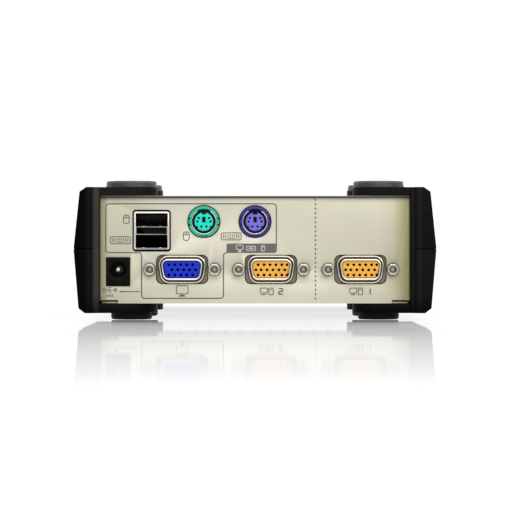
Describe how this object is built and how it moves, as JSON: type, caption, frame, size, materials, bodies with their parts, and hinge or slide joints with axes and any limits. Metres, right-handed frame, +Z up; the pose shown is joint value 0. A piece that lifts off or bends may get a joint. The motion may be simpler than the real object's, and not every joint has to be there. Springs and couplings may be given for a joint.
{
  "type": "kvm switch",
  "caption": "Desktop KVM switch: sheet metal case between black end caps with rubber pads and feet, connector panel on one side, push buttons on the other.",
  "frame": {"origin": "on the desk, under the middle of the object's box", "axes": "+Z up, +X to the right as seen when facing the connector panel, -Y out of the connector panel, +Y out of the button panel"},
  "size_m": [0.1402, 0.0874, 0.0539],
  "materials": {
    "case_paint": "satin champagne paint on sheet steel",
    "plated_steel": "zinc or nickel plate",
    "bright_nickel": "bright nickel plate",
    "cap_plastic": "fine moulded texture, black",
    "rubber": "smooth dark grey rubber",
    "board": "green solder mask",
    "black_plastic": "black moulded plastic",
    "contact_metal": "gold flash",
    "blue_plastic": "blue moulded plastic",
    "orange_plastic": "orange moulded plastic",
    "green_plastic": "turquoise green moulded plastic",
    "violet_plastic": "violet moulded plastic",
    "light_lens": "clear tinted light",
    "can_sleeve": "printed sleeve"
  },
  "bodies": {
    "case": {"base_tray": "plated_steel", "top_cover": "case_paint", "rear_panel": "case_paint", "front_panel": "case_paint", "left_end_cap": "cap_plastic", "right_end_cap": "cap_plastic", "top_pad_rear_left": "rubber", "top_pad_rear_right": "rubber", "top_pad_front_left": "rubber", "top_pad_front_right": "rubber", "foot_rear_left": "rubber", "foot_rear_right": "rubber", "foot_front_left": "rubber", "foot_front_right": "rubber", "cap_screws": "plated_steel", "cover_screws": "plated_steel", "main_board": "board", "upper_board": "board", "riser_board": "board", "front_board": "board", "board_standoffs": "contact_metal", "board_pillars": "contact_metal", "board_screws": "plated_steel", "board_headers": "black_plastic", "usb_shell": "bright_nickel", "usb_insulator": "black_plastic", "usb_contacts": "contact_metal", "mouse_housing": "green_plastic", "mouse_shield": "bright_nickel", "mouse_contacts": "contact_metal", "keyboard_housing": "violet_plastic", "keyboard_shield": "bright_nickel", "keyboard_contacts": "contact_metal", "console_shell": "bright_nickel", "console_insulator": "blue_plastic", "console_contacts": "contact_metal", "console_jackscrews": "bright_nickel", "cpu_one_shell": "bright_nickel", "cpu_one_insulator": "orange_plastic", "cpu_one_contacts": "contact_metal", "cpu_one_jackscrews": "bright_nickel", "cpu_two_shell": "bright_nickel", "cpu_two_insulator": "orange_plastic", "cpu_two_contacts": "contact_metal", "cpu_two_jackscrews": "bright_nickel", "dc_housing": "black_plastic", "dc_pin": "plated_steel", "dc_spring": "plated_steel", "switch_bases": "black_plastic", "status_lights": "light_lens", "controller_chip": "black_plastic", "support_chips": "black_plastic", "capacitors": "can_sleeve", "crystal": "plated_steel", "voltage_regulator": "black_plastic", "buzzer": "black_plastic"},
    "push_button_one": {"button_one": "black_plastic", "plunger_one": "orange_plastic"},
    "push_button_two": {"button_two": "black_plastic", "plunger_two": "orange_plastic"}
  },
  "joints": [
    {"name": "push_one", "type": "slide", "parent": "case", "child": "push_button_one", "axis": [0, -1, 0], "range_m": [0, 0.001], "stiffness_N_per_m": 1500},
    {"name": "push_two", "type": "slide", "parent": "case", "child": "push_button_two", "axis": [0, -1, 0], "range_m": [0, 0.001], "stiffness_N_per_m": 1500}
  ]
}
